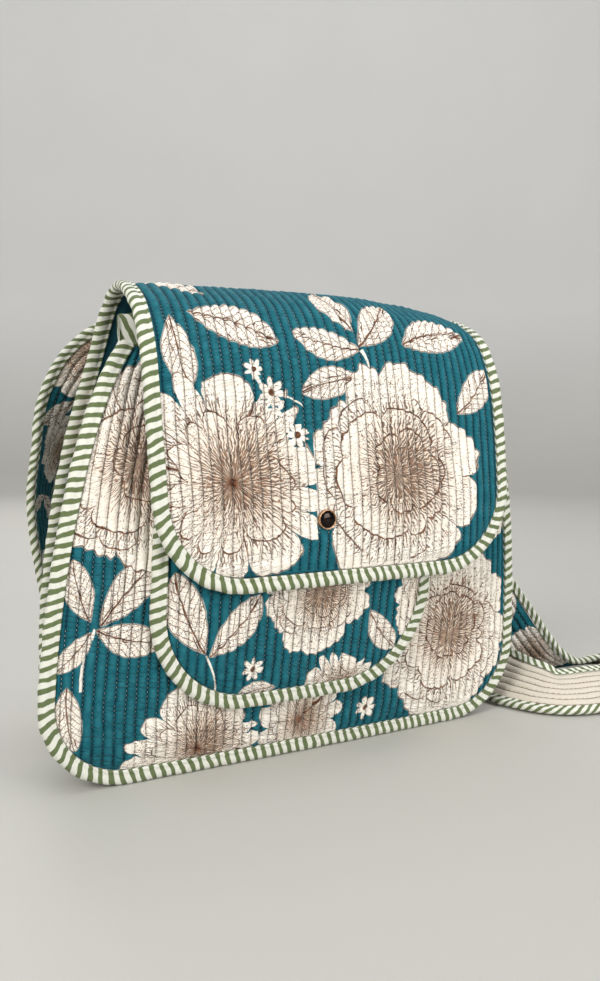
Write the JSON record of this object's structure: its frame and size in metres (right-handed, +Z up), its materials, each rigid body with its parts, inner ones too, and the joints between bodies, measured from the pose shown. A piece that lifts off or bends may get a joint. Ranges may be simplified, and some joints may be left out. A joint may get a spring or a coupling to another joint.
{
  "type": "quilted shoulder bag",
  "caption": "Soft quilted shoulder bag with a fold-over flap, a patch pocket, bound edges, a press stud and a wide strap laid beside it.",
  "frame": {"origin": "middle of the bottom, on the surface it rests on", "axes": "+Z up, the front faces -Y, +X to the right of someone facing the front"},
  "size_m": [0.5531, 0.1961, 0.3071],
  "materials": {
    "quilted_cloth": "printed cotton, teal with cream flowers, quilted in narrow channels",
    "striped_binding": "woven cotton, white with slanted olive green stripes",
    "snap_metal": "dark polished metal with a copper rim"
  },
  "bodies": {
    "root": {"back_flap": "quilted_cloth", "front_panel": "quilted_cloth", "gusset": "quilted_cloth", "front_pocket": "quilted_cloth", "strap": "quilted_cloth", "flap_binding": "striped_binding", "front_binding": "striped_binding", "mouth_binding": "striped_binding", "pocket_binding": "striped_binding", "strap_binding_a": "striped_binding", "strap_binding_b": "striped_binding", "snap_cap": "snap_metal", "snap_stud": "snap_metal"}
  },
  "joints": []
}
